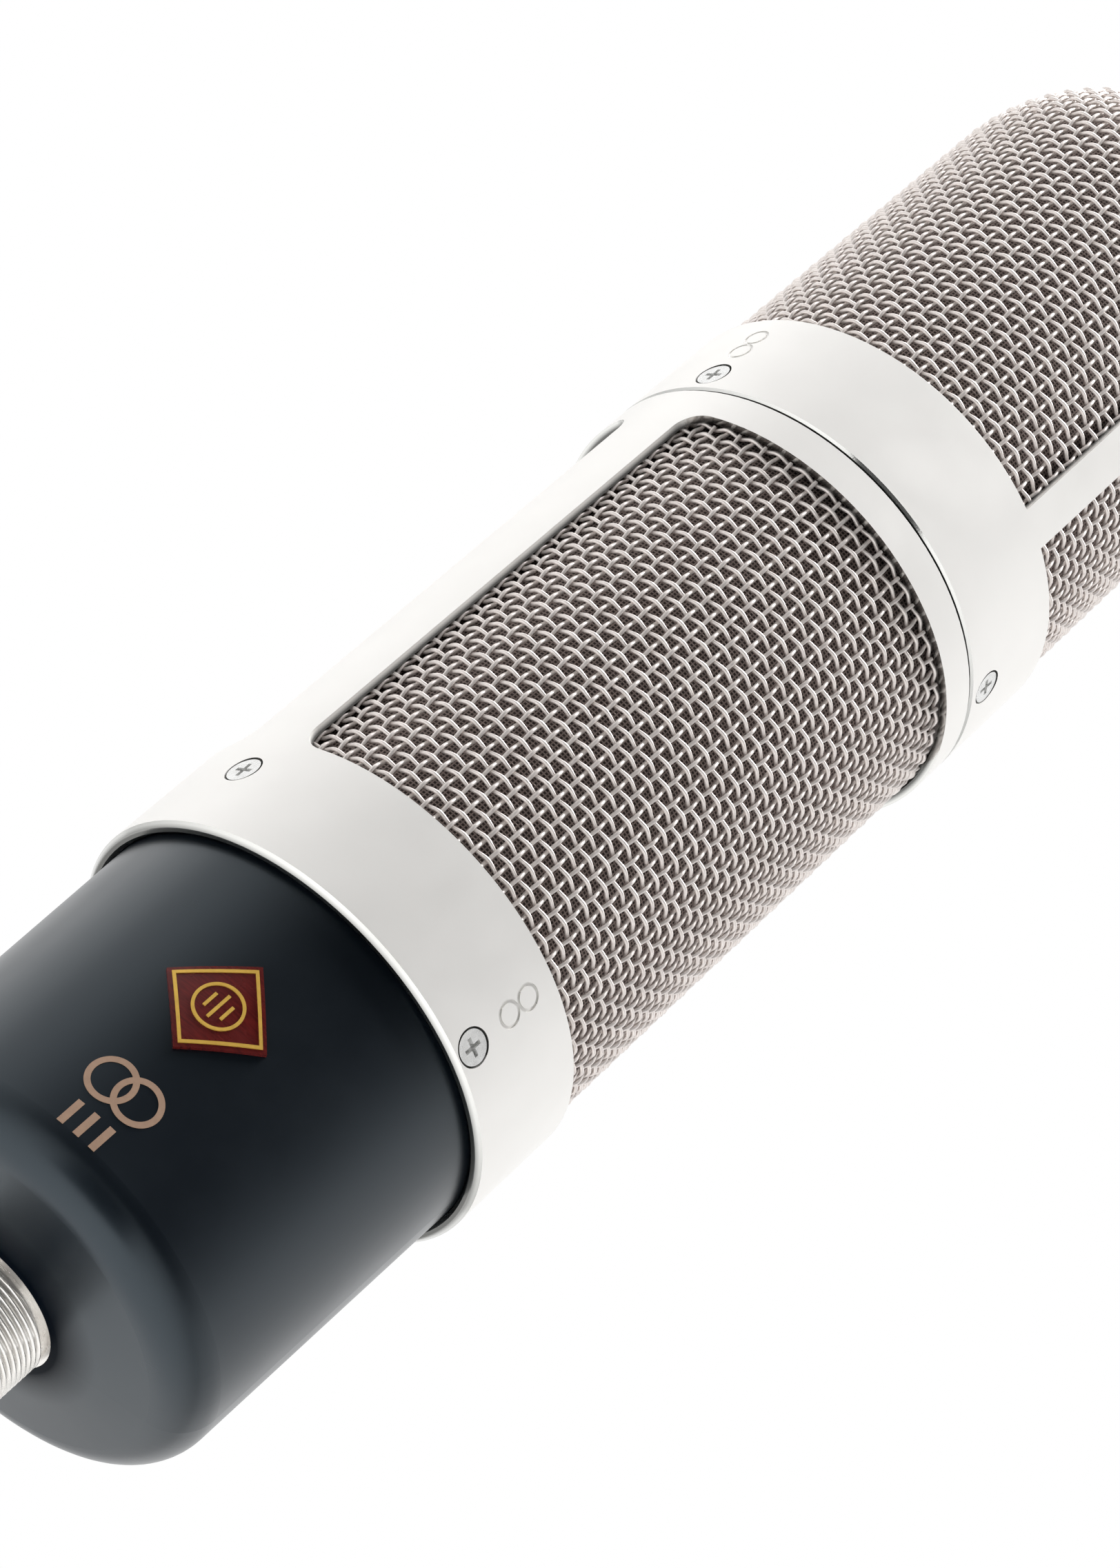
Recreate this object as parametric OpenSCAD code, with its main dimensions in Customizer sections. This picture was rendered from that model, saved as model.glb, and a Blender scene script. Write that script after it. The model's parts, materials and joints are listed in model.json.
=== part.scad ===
// Stereo ribbon microphone: a painted base with a threaded stem, a fixed lower capsule
// and an upper capsule head that turns on a hollow pivot at the seam between the frames.
// +Z runs up the axis, the origin is the centre of the stem's lower end, -Y faces the badge.

/* [Frames] */
// Outer radius of both silver frames
ring_r = 30; // [27:0.5:36]
// Wall of the frames behind their solid bands
frame_wall = 1.7; // [1.4:0.1:2.5]
// Wall of the frames over the mesh
strut_wall = 1.0; // [0.8:0.1:1.3]
// Width of the lower frame's struts towards its front window, from the line of their screws
strut_front_w = 3.3; // [2.4:0.1:5]
// Width of the lower frame's struts towards its rear window, from the line of their screws
strut_rear_w = 6.5; // [2.4:0.1:7]
// Width of the strap over the dome
strap_w = 5.6; // [4:0.2:9]
// Height of the lower frame's solid band
ring_h = 17.5; // [15:0.5:24]
// Height of the lower frame's window
window_h = 75; // [70:1:95]
// Height of the band above the lower window
top_band_h = 5.2; // [5:0.2:9]
// Corner radius of the lower window
window_corner_r = 3.4; // [1:0.2:6]
// Height of the upper frame's solid band
head_ring_h = 17.2; // [15:0.2:24]
// Height from the upper band to the top of the dome
head_window_h = 85.3; // [80:0.1:100]
// Distance of the dome's shoulder arc centre from the axis
dome_flat_x = 2; // [0.5:0.5:12]
// Radius of the dome's crown
dome_crown_r = 70; // [50:5:120]
// Gap at the seam between the frames
seam_gap = 0.3; // [0.2:0.05:0.6]
// Small chamfer on the frames' edges
edge_chamfer = 0.3; // [0.1:0.05:0.5]
// Chamfer round the mouth of the lower frame
mouth_chamfer = 0.6; // [0.3:0.1:0.8]

/* [Body] */
// Length of the painted body below the lower frame
body_len = 50; // [46:1:70]
// Narrowing of the body from the lower frame down to its shoulder, in radius
body_taper = 0.5; // [0:0.1:1.5]
// Radius of the body's lower shoulder
body_shoulder_r = 6; // [4:0.5:8]
// Slope of the body's underside, in degrees
underside_slope = 8; // [4:1:12]
// Wall of the body
body_wall = 1.7; // [1.2:0.1:2.2]
// Height of the body's spigot inside the lower frame
spigot_h = 7; // [6:0.5:8]

/* [Stem and connector] */
// Radius of the connector bore in the stem
stem_bore_r = 8.1; // [7.8:0.02:9.8]
// Wall of the stem, with its thread
stem_wall = 1.25; // [1.1:0.05:1.8]
// Length of the stem below the body
stem_len = 20; // [18:1:30]
// Height of the relief groove between the thread and the body
stem_relief_h = 0.8; // [0.5:0.1:1.5]
// Width of the stem's inner flange
stem_flange_w = 5.15; // [4.6:0.05:5.4]
// Thickness of the stem's inner flange
stem_flange_t = 2.5; // [2:0.5:3.5]
// Depth of the connector's pin holder below the underside
holder_depth = 8; // [6:0.5:9]
// Thickness of the pin holder
holder_t = 6; // [5:0.5:7]
// Height of the pins' solder tails above the holder
tail_h = 1.5; // [1:0.25:2]
// Radius of a connector pin
pin_r = 1.0; // [0.9:0.05:1.2]
// Radius of the circle that the pins stand on
pin_circle_r = 4.3; // [4.2:0.1:4.8]
// Number of connector pins
pin_count = 5; // [3:1:5]
// Free length of a connector pin
pin_len = 9.5; // [8:0.5:10]

/* [Capsules] */
// Room left in the height of the windows above a capsule's magnet yoke
yoke_room = 9; // [8:0.5:15]
// Width of a capsule's magnet yoke
yoke_w = 34; // [30:1:36]
// Depth of a capsule's magnet yoke
yoke_d = 9; // [8:0.5:12]
// Thickness of the yoke's bars
yoke_t = 4; // [3:0.5:5]
// Width of the air gap between the pole pieces
air_gap_w = 5.6; // [4:0.2:7]
// Width of a pole piece
pole_w = 4; // [3:0.5:5]
// Clearance between the ribbon and a pole piece
ribbon_gap = 0.4; // [0.3:0.05:0.8]
// Foil thickness of the ribbon stand-in
ribbon_t = 0.1; // [0.05:0.01:0.2]
// Half height of the ribbon's corrugations
wave_half = 0.5; // [0.3:0.1:0.9]
// Number of corrugations
wave_count = 22; // [12:1:30]
// Height of a ribbon clamp
clamp_h = 3; // [2.5:0.5:4]
// Thickness of a clamp jaw
jaw_t = 2.5; // [2:0.5:3]
// Thickness of the insulators under the clamps
insulator_t = 1; // [0.8:0.1:1.5]

/* [Mesh] */
// Thickness of the outer woven mesh
mesh_t = 0.9; // [0.6:0.1:1.1]
// Distance of the inner screen from the outer mesh
screen_gap = 1.0; // [0.6:0.1:1.5]
// Thickness of the inner screen
screen_t = 0.4; // [0.3:0.1:0.6]
// Overlap of the mesh behind the frames' edges
mesh_lap = 2; // [1.5:0.5:3]

/* [Pivot] */
// Radius of the hollow pivot
pivot_r = 5; // [4.5:0.5:6]
// Bore of the hollow pivot
pivot_bore_r = 3.2; // [2.5:0.1:3.4]
// Running clearance of the pivot, in radius
pivot_clear = 0.05; // [0.02:0.01:0.09]
// Thickness of the lower capsule's top plate
top_plate_t = 2.7; // [2.2:0.1:3]
// Thickness of the hub plate in the head
hub_t = 6.5; // [6:0.5:8]
// Thickness of the friction washer
washer_t = 0.6; // [0.4:0.1:0.8]
// Radius of the stop pin
stop_pin_r = 1.2; // [1:0.1:1.5]
// Radius at which the stop pin stands
stop_circle_r = 15; // [13:1:18]
// Turn of the head each way from rest, in degrees
head_turn = 90; // [60:5:120]

/* [Fasteners] */
// Head radius of the frame screws
frame_screw_head_r = 2.15; // [1.8:0.05:2.4]
// Open gap round the heads of the frame screws
screw_rim_gap = 0.26; // [0.1:0.02:0.4]
// Shank radius of the frame screws
frame_screw_r = 1.2; // [1:0.05:1.3]
// Height of the frame screws' heads
frame_screw_head_h = 1.1; // [0.9:0.1:1.3]
// Length of the frame screws
frame_screw_len = 5; // [4:0.5:6]
// Radius of the small inner screws
inner_screw_r = 1.0; // [0.8:0.1:1.2]
// Head radius of the small inner screws
inner_screw_head_r = 1.8; // [1.6:0.1:2.2]

/* [Base electronics] */
// Gap between a transformer can and the body
can_side_gap = 1.9; // [1:0.1:3]
// Height of a transformer can
can_h = 20; // [16:1:22]
// Wall of a transformer can
can_wall = 0.8; // [0.5:0.1:1.2]
// Gap between the two transformer cans
can_mid_gap = 1.8; // [1:0.1:3]
// Thickness of the chassis plate
chassis_t = 2; // [1.5:0.5:3]
// Height of the posts under the chassis plate
chassis_post_h = 6.5; // [6:0.5:9]
// Gap between the cans and the terminal board
board_gap = 5; // [3:0.5:6]
// Thickness of the terminal board
board_t = 1.6; // [1.2:0.2:2]

/* [Marks] */
// Half diagonal of the diamond badge
badge_half = 7.5; // [6:0.5:9]
// Height of the badge's centre below the lower frame
badge_drop = 19; // [16:0.5:20]
// Thickness of the badge plate
badge_t = 0.5; // [0.3:0.1:0.8]
// Thickness of the badge's gilt lines
gilt_t = 0.15; // [0.1:0.05:0.3]
// Thickness of the printed pictogram
print_t = 0.06; // [0.05:0.01:0.1]
// Depth of the engraved pattern marks
engrave_t = 0.2; // [0.1:0.05:0.3]

/* [Hidden] */
$fn = 96;

// Directions round the axis, in degrees from +X
badge_az = -90;
lower_front_az = -45;
upper_front_az = -135;
head_screw_az = [-135, -15, 105];

// Clearances
cut = 1;                   // how far a cutting shape runs past a face
slide_gap = 0.1;           // between sleeves that slide together
seat_gap = 0.05;           // between a piece and the hole it sits in
moving_gap = 0.35;         // between surfaces that pass each other
silver = [0.86, 0.86, 0.84];
nickel = [0.72, 0.71, 0.69];
steel = [0.45, 0.46, 0.48];
gilt = [0.85, 0.62, 0.16];

// Heights
body_z = stem_len;
ring_z = body_z + body_len;
win_z = ring_z + ring_h;
win_top_z = win_z + window_h;
lower_top_z = win_top_z + top_band_h;
head_z = lower_top_z + seam_gap;
head_win_z = head_z + head_ring_h;
top_z = head_win_z + head_window_h;
spigot_z = ring_z + spigot_h;

// Radii shared by the shells
frame_in_r = ring_r - frame_wall;
body_top_r = frame_in_r - slide_gap;
body_low_r = body_top_r - body_taper;
mesh_r = ring_r - strut_wall - seat_gap;
screen_r = mesh_r - mesh_t - screen_gap;
plate_r = frame_in_r - seat_gap;
screw_seat_r = ring_r - 0.1;

// The stem
stem_r = stem_bore_r + stem_wall;
stem_relief_r = (stem_r + stem_bore_r) / 2;
stem_neck_r = stem_r + 0.3;
stem_flange_r = stem_r + stem_flange_w;
stem_screw_depth = 2;
stem_screw_len = stem_flange_t + stem_screw_depth - 0.3;

// The body's lower shoulder and floor
shoulder_x = body_low_r - body_shoulder_r;
cone_x = shoulder_x + body_shoulder_r * sin(underside_slope);
shoulder_z = body_z + body_shoulder_r * cos(underside_slope) + (cone_x - stem_neck_r) * tan(underside_slope);
cone_z = shoulder_z - body_shoulder_r * cos(underside_slope);
body_in_r = body_low_r - body_wall;
floor_z = shoulder_z - (body_shoulder_r - body_wall);
function body_r_at(z) = body_low_r + (body_top_r - body_low_r) * (z - shoulder_z) / (ring_z - shoulder_z);

// Base electronics
chassis_z = floor_z + chassis_post_h;
can_z = chassis_z + chassis_t;
board_z = can_z + can_h + board_gap;
board_r = body_in_r - 0.6;
post_side_gap = 0.8;
post_circle_r = (stem_flange_r + shoulder_x) / 2;
post_r = (shoulder_x - stem_flange_r) / 2 - post_side_gap;
board_pillar_inset = 7;
board_pillar_y = body_in_r - board_pillar_inset;
board_pillar_r = 2.5;
lead_hole_y = -6;
lead_bundle_r = 1.2;
can_r = (body_in_r - can_side_gap - can_mid_gap / 2) / 2;
can_offset = can_r + can_mid_gap / 2;
winding_depth = 3.5;
core_half_w = 1.5;
winding_gap = 0.9;
core_r = can_r - can_wall - winding_depth - winding_gap;

// Lower capsule
base_screw_drop = 6.1;
base_screw_z = win_z - base_screw_drop;
body_screw_rise = 3.2;
body_screw_z = ring_z + body_screw_rise;
motor_base_t = 5.6;
motor_base_z = base_screw_z - motor_base_t / 2;
lower_yoke_z = motor_base_z + motor_base_t;
capsule_side_x = (yoke_w / 2 + screen_r - screen_t) / 2;   // midway between a yoke and its screen
pillar_r = 2;
top_plate_z = lower_top_z - seam_gap - top_plate_t;
plate_top_z = top_plate_z + top_plate_t;

// Pivot and head
hub_z = plate_top_z + washer_t + seam_gap;
hub_screw_z = hub_z + hub_t / 2;
bush_r = pivot_r + 2;
bush_z = top_plate_z - 0.5;
pivot_ring_t = 1;
pivot_ring_z = bush_z - seam_gap - pivot_ring_t;
pivot_flange_t = 1.5;
pivot_tail = 0.8;          // of the pivot below its retaining ring
washer_r = bush_r + 3;
upper_yoke_z = head_win_z - 3;
upper_post_h = upper_yoke_z - hub_z - hub_t;
yoke_screw_x = 12;
cable_r = 1.2;
cable_y = capsule_side_x;
cable_bend_r = 5;
cable_run_z = pivot_ring_z - 4;
cable_end_z = hub_z + hub_t + pivot_flange_t + 1;
slot_depth = 3.5;
stud_depth = 2.5;
head_mark_rise = 10.9;

// Ribbon motor, heights above the yoke's foot, as tall as both windows allow
dome_room = 10.3;
yoke_h = min(window_h, head_window_h - dome_room) - yoke_room;
magnet_w = (yoke_w - 2 * yoke_t - air_gap_w) / 2 - pole_w;
clamp_w = 18;
clamp_low_z = yoke_t + insulator_t;
clamp_high_z = yoke_h - yoke_t - insulator_t - clamp_h;
magnet_low_z = clamp_low_z + clamp_h + 0.5;
magnet_h = clamp_high_z - 0.5 - magnet_low_z;
ribbon_w = air_gap_w - 2 * ribbon_gap;
clamp_screw_x = 6;
clamp_screw_r = 0.8;
clamp_head_r = 1.35;
wave_low_z = clamp_low_z + clamp_h;
wave_pitch = (clamp_high_z - wave_low_z) / wave_count;
lead_r = 0.5;
lead_x = 8;
lead_y = yoke_d / 2 + lead_r + seat_gap;

// ---------- shared shapes ----------

// Turns a shape about the axis and lays its Z along the outward radius at height z
module at_radius(az, z, r) {
    rotate([0, 0, az]) translate([r, 0, z]) rotate([0, 90, 0]) children();
}

module tube(r_out, r_in, z, h) {
    translate([0, 0, z]) difference() {
        cylinder(r = r_out, h = h);
        translate([0, 0, -cut]) cylinder(r = r_in, h = h + 2 * cut);
    }
}

// Countersunk screw with a cross recess, its head's top at the origin, pointing down -Z
module csk_screw(head_r, head_h, shank_r, len) {
    difference() {
        union() {
            translate([0, 0, -head_h]) cylinder(r1 = shank_r, r2 = head_r, h = head_h);
            translate([0, 0, -len]) cylinder(r = shank_r, h = len - head_h);
        }
        for (turn = [0, 90]) rotate([0, 0, turn])
            translate([-head_r * 0.58, -head_r * 0.13, -head_h * 0.7])
                cube([head_r * 1.16, head_r * 0.26, head_h]);
    }
}

// The hole that a countersunk screw sits in
module csk_hole(head_r, head_h, shank_r, len) {
    translate([0, 0, -head_h]) cylinder(r1 = shank_r + seat_gap, r2 = head_r + seat_gap, h = head_h);
    cylinder(r = head_r + seat_gap, h = cut);
    translate([0, 0, -len - seat_gap]) cylinder(r = shank_r + seat_gap, h = len);
}

// The same hole with an open rim round the head
module frame_screw_hole() {
    rim_depth = 0.8;
    csk_hole(frame_screw_head_r, frame_screw_head_h, frame_screw_r, frame_screw_len);
    translate([0, 0, -rim_depth]) cylinder(r = frame_screw_head_r + screw_rim_gap, h = rim_depth + cut);
}

module frame_screw() {
    csk_screw(frame_screw_head_r, frame_screw_head_h, frame_screw_r, frame_screw_len);
}

// Half section of a dome whose surface lies in by an inset, standing on z_from
module dome_section(inset, z_from) {
    crown_z = top_z - dome_crown_r;
    dome_shoulder_r = ring_r - dome_flat_x;
    knuckle_z = crown_z + sqrt(pow(dome_crown_r - dome_shoulder_r, 2) - pow(dome_flat_x, 2));
    lean = asin(dome_flat_x / (dome_crown_r - dome_shoulder_r));
    reach = dome_crown_r + 10;
    intersection() {
        union() {
            translate([0, z_from]) square([ring_r - inset, knuckle_z - z_from]);
            translate([dome_flat_x, knuckle_z]) circle(r = dome_shoulder_r - inset);
            intersection() {
                translate([0, crown_z]) circle(r = dome_crown_r - inset);
                polygon([[0, knuckle_z], [dome_flat_x, knuckle_z],
                    [reach * sin(lean), crown_z + reach * cos(lean)], [0, crown_z + reach]]);
            }
        }
        translate([0, z_from]) square([ring_r, top_z - z_from + cut]);
    }
}

module dome_shell(inset, t, z_from) {
    rotate_extrude() difference() {
        dome_section(inset, z_from);
        dome_section(inset + t, z_from - cut);
    }
}

// Half section of the body, in by an inset, from its underside to z_to
module body_section(z_to) {
    translate([shoulder_x, shoulder_z]) circle(r = body_shoulder_r);
    polygon([[0, body_z], [stem_neck_r, body_z], [cone_x, cone_z], [shoulder_x, shoulder_z],
        [body_low_r, shoulder_z], [body_top_r, ring_z], [body_top_r, z_to], [0, z_to]]);
}

module body_hollow_section() {
    translate([shoulder_x, shoulder_z]) circle(r = body_shoulder_r - body_wall);
    translate([0, floor_z]) square([shoulder_x, shoulder_z - floor_z]);
    translate([0, shoulder_z]) square([body_in_r, spigot_z - shoulder_z + cut]);
}

// A skin on the body's side between two thicknesses
module body_skin(t0, t1, z0, z1) {
    difference() {
        translate([0, 0, z0]) cylinder(r1 = body_r_at(z0) + t1, r2 = body_r_at(z1) + t1, h = z1 - z0);
        translate([0, 0, z0 - 0.001])
            cylinder(r1 = body_r_at(z0) + t0, r2 = body_r_at(z1) + t0, h = z1 - z0 + 0.002);
    }
}

// Pushes a flat outline, drawn with X to the right and Y up, through the front at height z
module on_front(az, z, r) {
    rotate([0, 0, az + 90]) translate([0, 0, z]) rotate([90, 0, 0])
        linear_extrude(height = r + 5) children();
}

module ring_2d(r, w) {
    difference() {
        circle(r = r + w / 2);
        circle(r = r - w / 2);
    }
}

// Two stacked rings, the usual sign for a two-sided pickup pattern
module pattern_mark_2d() {
    mark_r = 1.5;
    for (side = [-1, 1]) translate([0, side * mark_r * 1.12]) ring_2d(mark_r, 0.4);
}

module engraving(az, z) {
    difference() {
        on_front(az, z, ring_r) pattern_mark_2d();
        translate([0, 0, z - 10]) cylinder(r = ring_r - engrave_t, h = 20);
    }
}

// ---------- base ----------

module body_shell() {
    color([0.10, 0.12, 0.16]) difference() {
        rotate_extrude() difference() {
            body_section(spigot_z);
            body_hollow_section();
        }
        translate([0, 0, body_z - cut]) cylinder(r = stem_neck_r + seat_gap, h = body_len);
        stem_screw_places(floor_z - stem_screw_depth)
            cylinder(r = inner_screw_r + seat_gap, h = stem_screw_depth + cut);
        for (side = [0, 180]) at_radius(lower_front_az + side, body_screw_z, screw_seat_r) frame_screw_hole();
    }
}

module stem_screw_places(z) {
    for (az = [30, 150, 270]) rotate([0, 0, az]) translate([(stem_r + stem_flange_r) / 2, 0, z]) children();
}

module stem_housing() {
    color(nickel) difference() {
        union() {
            cylinder(r = stem_r, h = stem_len - stem_relief_h);
            translate([0, 0, stem_len - stem_relief_h - cut])
                cylinder(r = stem_relief_r, h = stem_relief_h + 2 * cut);
            translate([0, 0, body_z]) cylinder(r = stem_neck_r, h = floor_z + stem_flange_t - body_z);
            translate([0, 0, floor_z]) cylinder(r = stem_flange_r, h = stem_flange_t);
        }
        translate([0, 0, -cut]) cylinder(r = stem_bore_r, h = floor_z + stem_flange_t + 2 * cut);
        stem_screw_places(floor_z + stem_flange_t)
            csk_hole(inner_screw_head_r, 1, inner_screw_r, stem_screw_len);
    }
}

module stem_screws() {
    color(steel) stem_screw_places(floor_z + stem_flange_t)
        csk_screw(inner_screw_head_r, 1, inner_screw_r, stem_screw_len);
}

module xlr_insert() {
    color([0.08, 0.08, 0.08]) difference() {
        translate([0, 0, body_z - holder_depth]) cylinder(r = stem_bore_r - seat_gap, h = holder_t);
        pin_places() translate([0, 0, body_z - holder_depth - cut])
            cylinder(r = pin_r + seat_gap / 2, h = holder_t + 2 * cut);
    }
}

module pin_places() {
    step = 360 / (pin_count + 1);
    for (i = [1 : pin_count]) rotate([0, 0, 90 + i * step]) translate([pin_circle_r, 0, 0]) children();
}

module xlr_pins() {
    color(gilt) pin_places() {
        tip_z = body_z - holder_depth - pin_len;
        translate([0, 0, tip_z + pin_r]) cylinder(r = pin_r, h = pin_len - pin_r + holder_t + tail_h);
        translate([0, 0, tip_z]) cylinder(r1 = pin_r * 0.5, r2 = pin_r, h = pin_r);
    }
}

module chassis_post_places() {
    for (az = [90, 210, 330]) rotate([0, 0, az]) translate([post_circle_r, 0, 0]) children();
}

module chassis_posts() {
    color("gainsboro") chassis_post_places() tube(post_r, inner_screw_r + seat_gap, floor_z, chassis_post_h);
}

module chassis_plate() {
    color("gainsboro") difference() {
        translate([0, 0, chassis_z]) cylinder(r = body_in_r - 0.3, h = chassis_t);
        chassis_post_places() translate([0, 0, can_z])
            csk_hole(inner_screw_head_r, 1, inner_screw_r, chassis_t + cut);
        translate([0, lead_hole_y, chassis_z - cut])
            cylinder(r = lead_bundle_r + 0.4, h = chassis_t + 2 * cut);
    }
}

module chassis_screws() {
    color(steel) chassis_post_places() translate([0, 0, can_z])
        csk_screw(inner_screw_head_r, 1, inner_screw_r, chassis_t + chassis_post_h - 0.5);
}

module transformer_can(side) {
    color([0.62, 0.62, 0.60]) translate([side * can_offset, 0, can_z]) difference() {
        cylinder(r = can_r, h = can_h);
        translate([0, 0, -cut]) cylinder(r = can_r - can_wall, h = can_h - can_wall + cut);
    }
}

module transformer_core(side) {
    color([0.35, 0.35, 0.37]) translate([side * can_offset, 0, 0])
        tube(core_r + core_half_w, core_r - core_half_w, can_z + 4, can_h - 9);
}

module transformer_winding(side) {
    color([0.72, 0.40, 0.18]) translate([side * can_offset, 0, can_z]) rotate_extrude() difference() {
        translate([core_r - winding_depth, 1.5]) square([2 * winding_depth, can_h - 4]);
        translate([core_r - core_half_w, 4]) square([2 * core_half_w, can_h - 9]);
    }
}

module board_pillar_places() {
    for (side = [-1, 1]) translate([0, side * board_pillar_y, 0]) children();
}

module board_pillars() {
    color("goldenrod") board_pillar_places()
        tube(board_pillar_r, inner_screw_r + seat_gap, can_z, board_z - can_z);
}

module terminal_board() {
    color([0.10, 0.32, 0.18]) difference() {
        translate([0, 0, board_z]) cylinder(r = board_r, h = board_t);
        board_pillar_places() translate([0, 0, board_z - cut])
            cylinder(r = inner_screw_r + seat_gap, h = board_t + 2 * cut);
        rotate([0, 0, lower_front_az + 90]) translate([0, cable_y, board_z - cut])
            cylinder(r = cable_r + seat_gap, h = board_t + 2 * cut);
    }
}

module board_screws() {
    color(steel) board_pillar_places() translate([0, 0, board_z + board_t]) difference() {
        union() {
            cylinder(r = inner_screw_head_r, h = 1.2);
            translate([0, 0, -board_t - 5]) cylinder(r = inner_screw_r, h = board_t + 5);
        }
        translate([-inner_screw_head_r * 0.7, -0.2, 0.6]) cube([inner_screw_head_r * 1.4, 0.4, 1]);
    }
}

module output_leads() {
    lead_z = body_z - holder_depth + holder_t + tail_h + 0.2;
    color([0.55, 0.12, 0.10]) translate([0, lead_hole_y, lead_z])
        cylinder(r = lead_bundle_r, h = board_z - lead_z);
}

// ---------- marks on the body ----------

badge_z = ring_z - badge_drop;

module diamond_2d(half) {
    polygon([[half, 0], [0, half], [-half, 0], [0, -half]]);
}

module badge_plate() {
    color([0.36, 0.05, 0.06]) intersection() {
        on_front(badge_az, badge_z, ring_r) diamond_2d(badge_half);
        body_skin(0, badge_t, badge_z - badge_half - 1, badge_z + badge_half + 1);
    }
}

module badge_emblem_2d() {
    line_w = 0.4;
    difference() {
        diamond_2d(badge_half - 0.7);
        diamond_2d(badge_half - 0.7 - line_w * sqrt(2));
    }
    ring_2d(2.9, line_w);
    for (i = [-1 : 1]) translate([i * 1.25 - line_w / 2, i == 0 ? -1.9 : -1.1])
        square([line_w, i == 0 ? 3.8 : 2.2]);
}

module badge_emblem() {
    color(gilt) intersection() {
        on_front(badge_az, badge_z, ring_r) badge_emblem_2d();
        body_skin(badge_t, badge_t + gilt_t, badge_z - badge_half - 1, badge_z + badge_half + 1);
    }
}

module pictogram_2d() {
    for (side = [-1, 1]) translate([side * 1.9, 0]) ring_2d(2.7, 0.75);
    for (i = [-1 : 1]) translate([i * 2.3 - 0.45, -8.0]) square([0.9, 3.6]);
}

module front_pictogram() {
    print_z = badge_z - 15.3;
    color([0.72, 0.58, 0.48]) intersection() {
        on_front(badge_az, print_z, ring_r) pictogram_2d();
        body_skin(0, print_t, print_z - 9, print_z + 5);
    }
}

// ---------- lower capsule ----------

// The rear and front windows between two heights, with rounded corners, cut along the struts
module window_cut(z0, z1, corner) {
    for (side = [[0, strut_rear_w], [180, strut_front_w]]) rotate([0, 0, side[0]]) rotate([90, 0, 90])
        translate([side[1], 0, -ring_r - cut]) linear_extrude(height = 2 * (ring_r + cut)) union() {
            translate([corner, z0]) square([ring_r, z1 - z0]);
            translate([0, z0 + corner]) square([ring_r, z1 - z0 - 2 * corner]);
            for (z = [z0 + corner, z1 - corner]) translate([corner, z]) circle(r = corner);
        }
}

module lower_frame() {
    groove_z = win_z - mesh_lap;
    groove_top_z = win_top_z + mesh_lap;
    lead_in = 0.5;
    color(silver) difference() {
        rotate_extrude() difference() {
            polygon([[frame_in_r - cut, ring_z], [ring_r - mouth_chamfer, ring_z],
                [ring_r, ring_z + mouth_chamfer], [ring_r, lower_top_z - edge_chamfer],
                [ring_r - edge_chamfer, lower_top_z], [frame_in_r - cut, lower_top_z]]);
            translate([0, ring_z - cut]) square([frame_in_r, lower_top_z - ring_z + 2 * cut]);
            translate([0, groove_z]) square([ring_r - strut_wall, groove_top_z - groove_z]);
            polygon([[0, ring_z - cut], [frame_in_r + lead_in + cut, ring_z - cut],
                [frame_in_r, ring_z + lead_in], [0, ring_z + lead_in]]);
        }
        rotate([0, 0, lower_front_az + 90]) window_cut(win_z, win_top_z, window_corner_r);
        for (side = [0, 180]) {
            at_radius(lower_front_az + side, body_screw_z, screw_seat_r) frame_screw_hole();
            at_radius(lower_front_az + 90 + side, base_screw_z, screw_seat_r) frame_screw_hole();
            engraving(lower_front_az + side, base_screw_z);
        }
    }
}

module body_screws() {
    color(steel) for (side = [0, 180])
        at_radius(lower_front_az + side, body_screw_z, screw_seat_r) frame_screw();
}

module lower_frame_screws() {
    color(steel) for (side = [90, 270])
        at_radius(lower_front_az + side, base_screw_z, screw_seat_r) frame_screw();
}

module lower_mesh() {
    color(nickel) tube(mesh_r, mesh_r - mesh_t, win_z - mesh_lap, window_h + 2 * mesh_lap);
}

module lower_screen() {
    color([0.5, 0.5, 0.49]) tube(screen_r, screen_r - screen_t, lower_yoke_z, top_plate_z - lower_yoke_z);
}

module lower_motor_base() {
    color("gainsboro") difference() {
        translate([0, 0, motor_base_z]) cylinder(r = plate_r, h = motor_base_t);
        for (side = [90, 270])
            at_radius(lower_front_az + side, base_screw_z, screw_seat_r) frame_screw_hole();
        rotate([0, 0, lower_front_az + 90]) {
            for (side = [-1, 1]) {
                translate([side * yoke_screw_x, 0, motor_base_z]) rotate([180, 0, 0])
                    csk_hole(inner_screw_head_r, 1, inner_screw_r, motor_base_t + cut);
                translate([side * lead_x, side * lead_y, motor_base_z - cut])
                    cylinder(r = lead_r + 0.3, h = motor_base_t + 2 * cut);
            }
            translate([0, cable_y, motor_base_z - cut])
                cylinder(r = cable_r + 0.3, h = motor_base_t + 2 * cut);
        }
    }
}

module lower_place() {
    translate([0, 0, lower_yoke_z]) rotate([0, 0, lower_front_az + 90]) children();
}

module upper_place() {
    translate([0, 0, upper_yoke_z]) rotate([0, 0, upper_front_az + 90]) children();
}

// ---------- ribbon motor, drawn with its foot at z = 0, X across and -Y to the front ----------

// A block centred on X and Y
module block(w, d, h, at) {
    translate([at[0] - w / 2, at[1] - d / 2, at[2]]) cube([w, d, h]);
}

module yoke() {
    color([0.30, 0.31, 0.33]) difference() {
        block(yoke_w, yoke_d, yoke_h, [0, 0, 0]);
        block(yoke_w - 2 * yoke_t, yoke_d + 2 * cut, yoke_h - 2 * yoke_t, [0, 0, yoke_t]);
        for (side = [-1, 1]) translate([side * yoke_screw_x, 0, -cut])
            cylinder(r = inner_screw_r + seat_gap, h = yoke_t - 0.5 + cut);
    }
}

module magnets() {
    color([0.55, 0.55, 0.57]) for (side = [-1, 1])
        block(magnet_w, yoke_d - 1, magnet_h,
            [side * (air_gap_w / 2 + pole_w + magnet_w / 2), 0, magnet_low_z]);
}

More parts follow.
